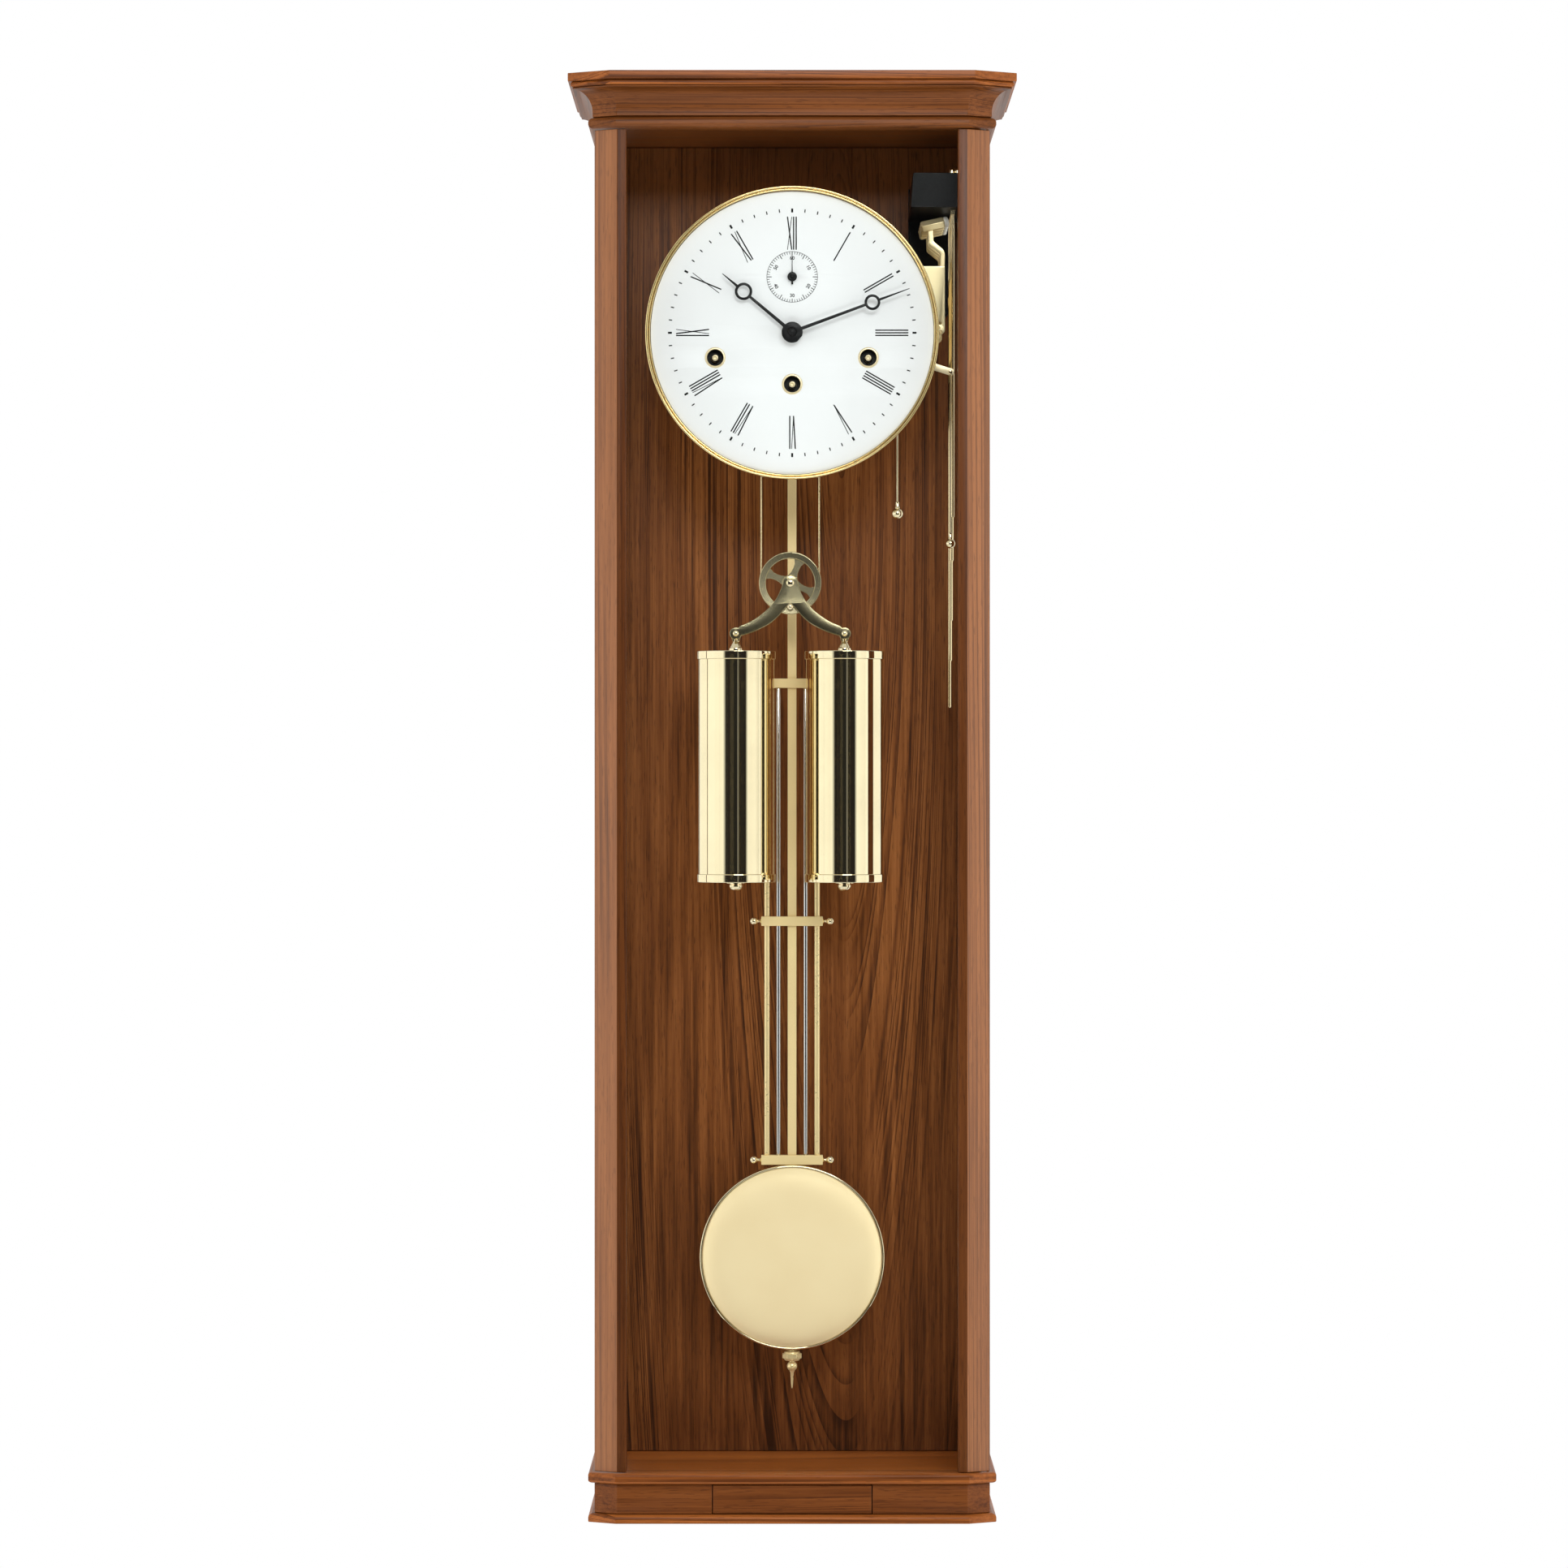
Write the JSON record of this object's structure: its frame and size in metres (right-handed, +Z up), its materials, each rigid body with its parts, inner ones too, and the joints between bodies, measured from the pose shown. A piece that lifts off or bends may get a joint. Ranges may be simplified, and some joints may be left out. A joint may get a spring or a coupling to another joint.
{
  "type": "wall regulator clock",
  "caption": "Wall-hung regulator clock: tall glazed wooden case with a moulded cornice, round dial, twin brass weights on a pulley, gridiron pendulum and chime rods.",
  "frame": {"origin": "rear face of the steel hanging plate, on the centre line just above its keyhole slot, in the plane of the wall", "axes": "+X to the viewer's right, +Y into the wall, +Z up"},
  "size_m": [0.321, 0.1938, 1.0368],
  "materials": {
    "walnut": "satin lacquered walnut",
    "clear_glass": "clear",
    "polished_brass": "polished and lacquered",
    "satin_brass": "fine satin",
    "steel": "nickel plated",
    "dial_white": "satin white",
    "black_satin": "satin black",
    "cast_iron": "black enamelled casting"
  },
  "bodies": {
    "case": {"foot_board": "walnut", "plinth": "walnut", "base_board": "walnut", "head_board": "walnut", "cornice_cove": "walnut", "cornice_cap": "walnut", "back_panel": "walnut", "side_frame_left": "walnut", "side_frame_right": "walnut", "side_glass_left": "clear_glass", "side_glass_right": "clear_glass", "hanging_plate": "steel", "hinge_pin_bottom": "steel", "hinge_pin_top": "steel", "dial_plate": "dial_white", "dial_bezel": "polished_brass", "front_plate": "polished_brass", "back_plate": "polished_brass", "movement_seat": "cast_iron", "hammer_bracket": "polished_brass", "gong_block": "cast_iron", "gong_rods": "steel"},
    "door": {"door_stile_left": "walnut", "door_stile_right": "walnut", "door_glass": "clear_glass"},
    "drawer": {"drawer_front": "walnut", "drawer_tray": "walnut", "winding_crank": "steel"},
    "minute_arbor": {"centre_wheel": "polished_brass", "minute_hand": "black_satin"},
    "hour_pipe": {"hour_wheel": "polished_brass", "hour_hand": "black_satin"},
    "motion_arbor": {"minute_wheel": "polished_brass"},
    "third_arbor": {"third_wheel": "polished_brass"},
    "escape_arbor": {"escape_wheel": "polished_brass", "seconds_hand": "black_satin"},
    "great_arbor": {"great_wheel": "polished_brass"},
    "drum_arbor": {"cable_drum": "polished_brass"},
    "strike_arbor": {"strike_barrel": "polished_brass"},
    "chime_arbor": {"chime_barrel": "polished_brass"},
    "pendulum": {"suspension_spring": "steel", "pendulum_bar": "satin_brass", "gridiron_frame": "polished_brass", "gridiron_steel_left": "steel", "gridiron_steel_right": "steel", "pendulum_bob": "satin_brass"},
    "regulator": {"rating_nut": "polished_brass"},
    "verge": {"pallet_anchor": "steel"},
    "hanger": {"weight_yoke": "polished_brass", "weight_cable": "steel"},
    "pulley_wheel": {"pulley": "polished_brass"},
    "left_weight": {"weight_left": "polished_brass"},
    "right_weight": {"weight_right": "polished_brass"},
    "hammer_arm_1": {"hammer_1": "satin_brass"},
    "hammer_arm_2": {"hammer_2": "satin_brass"},
    "hammer_arm_3": {"hammer_3": "satin_brass"},
    "hammer_arm_4": {"hammer_4": "satin_brass"},
    "lever": {"silence_lever": "polished_brass"},
    "silence_wire": {"silence_pull": "polished_brass"},
    "strike_wire": {"strike_pull": "polished_brass"}
  },
  "joints": [
    {"name": "door_hinge", "type": "hinge", "parent": "case", "child": "door", "pos_m": [0.1375, -0.1605, -0.434], "axis": [0, 0, 1], "range_deg": [0, 100]},
    {"name": "drawer_slide", "type": "slide", "parent": "case", "child": "drawer", "axis": [0, -1, 0], "range_m": [0, 0.09]},
    {"name": "minute_turn", "type": "hinge", "parent": "case", "child": "minute_arbor", "pos_m": [0, -0.15, -0.0962], "axis": [0, 1, 0], "continuous": true},
    {"name": "hour_turn", "type": "hinge", "parent": "case", "child": "hour_pipe", "pos_m": [0, -0.145, -0.0962], "axis": [0, 1, 0], "continuous": true},
    {"name": "motion_turn", "type": "hinge", "parent": "case", "child": "motion_arbor", "pos_m": [0.0163, -0.138, -0.08856], "axis": [0, 1, 0], "continuous": true},
    {"name": "third_turn", "type": "hinge", "parent": "case", "child": "third_arbor", "pos_m": [-0.01393, -0.11, -0.0752], "axis": [0, 1, 0], "continuous": true},
    {"name": "seconds_turn", "type": "hinge", "parent": "case", "child": "escape_arbor", "pos_m": [0, -0.12, -0.0559], "axis": [0, 1, 0], "continuous": true},
    {"name": "great_turn", "type": "hinge", "parent": "case", "child": "great_arbor", "pos_m": [0, -0.103, -0.1332], "axis": [0, 1, 0], "continuous": true},
    {"name": "strike_turn", "type": "hinge", "parent": "case", "child": "strike_arbor", "pos_m": [0.0549, -0.11, -0.1141], "axis": [0, 1, 0], "continuous": true},
    {"name": "chime_turn", "type": "hinge", "parent": "case", "child": "chime_arbor", "pos_m": [-0.0555, -0.11, -0.1141], "axis": [0, 1, 0], "continuous": true},
    {"name": "pendulum_swing", "type": "hinge", "parent": "case", "child": "pendulum", "pos_m": [0, -0.065, -0.039], "axis": [0, 1, 0], "range_deg": [-2.5, 2.5]},
    {"name": "verge_swing", "type": "hinge", "parent": "case", "child": "verge", "pos_m": [0, -0.09, -0.039], "axis": [0, 1, 0], "range_deg": [-2.5, 2.5]},
    {"name": "rating_turn", "type": "hinge", "parent": "pendulum", "child": "regulator", "pos_m": [0, -0.065, -0.842], "axis": [0, 0, 1], "continuous": true},
    {"name": "weight_drop", "type": "slide", "parent": "case", "child": "hanger", "axis": [0, 0, 1], "range_m": [-0.4, 0.045], "deforming": ["weight_cable"]},
    {"name": "pulley_turn", "type": "hinge", "parent": "hanger", "child": "pulley_wheel", "pos_m": [-0.0014, -0.111, -0.2753], "axis": [0, 1, 0], "range_deg": [-1090, 124]},
    {"name": "drum_turn", "type": "hinge", "parent": "case", "child": "drum_arbor", "pos_m": [0, -0.11, -0.1332], "axis": [0, 1, 0], "range_deg": [-2045, 231]},
    {"name": "left_weight_swing", "type": "hinge", "parent": "hanger", "child": "left_weight", "pos_m": [-0.0409, -0.111, -0.3121], "axis": [0, 1, 0], "range_deg": [-2.5, 2.5]},
    {"name": "right_weight_swing", "type": "hinge", "parent": "hanger", "child": "right_weight", "pos_m": [0.0381, -0.111, -0.3121], "axis": [0, 1, 0], "range_deg": [-2.5, 2.5]},
    {"name": "hammer_1_swing", "type": "hinge", "parent": "case", "child": "hammer_arm_1", "pos_m": [0.106, -0.1, -0.091], "axis": [0, 1, 0], "range_deg": [-12, 0], "stiffness_Nm_per_rad": 0.01, "springref_deg": 8.59},
    {"name": "hammer_2_swing", "type": "hinge", "parent": "case", "child": "hammer_arm_2", "pos_m": [0.106, -0.1, -0.091], "axis": [0, 1, 0], "range_deg": [-12, 0], "stiffness_Nm_per_rad": 0.01, "springref_deg": 8.59},
    {"name": "hammer_3_swing", "type": "hinge", "parent": "case", "child": "hammer_arm_3", "pos_m": [0.106, -0.1, -0.091], "axis": [0, 1, 0], "range_deg": [-12, 0], "stiffness_Nm_per_rad": 0.01, "springref_deg": 8.59},
    {"name": "hammer_4_swing", "type": "hinge", "parent": "case", "child": "hammer_arm_4", "pos_m": [0.106, -0.1, -0.091], "axis": [0, 1, 0], "range_deg": [-12, 0], "stiffness_Nm_per_rad": 0.01, "springref_deg": 8.59},
    {"name": "lever_turn", "type": "hinge", "parent": "case", "child": "lever", "pos_m": [0.096, -0.124, -0.1129], "axis": [0, 1, 0], "range_deg": [0, 12]},
    {"name": "silence_slide", "type": "slide", "parent": "case", "child": "silence_wire", "axis": [0, 0, -1], "range_m": [0, 0.0045]},
    {"name": "strike_slide", "type": "slide", "parent": "case", "child": "strike_wire", "axis": [0, 0, -1], "range_m": [0, 0.012], "stiffness_N_per_m": 50, "springref_m": -0.004}
  ],
  "couplings": [
    {"joint": "hour_turn", "follows": "minute_turn", "ratio": 0.083333},
    {"joint": "motion_turn", "follows": "minute_turn", "ratio": -0.33333},
    {"joint": "third_turn", "follows": "minute_turn", "ratio": -8},
    {"joint": "seconds_turn", "follows": "minute_turn", "ratio": 60},
    {"joint": "great_turn", "follows": "minute_turn", "ratio": -0.1},
    {"joint": "verge_swing", "follows": "pendulum_swing", "ratio": 1},
    {"joint": "pulley_turn", "follows": "weight_drop", "rad_per_m": 47.5},
    {"joint": "drum_turn", "follows": "weight_drop", "rad_per_m": 89},
    {"joint": "silence_slide", "follows": "lever_turn", "m_per_rad": 0.0186}
  ]
}
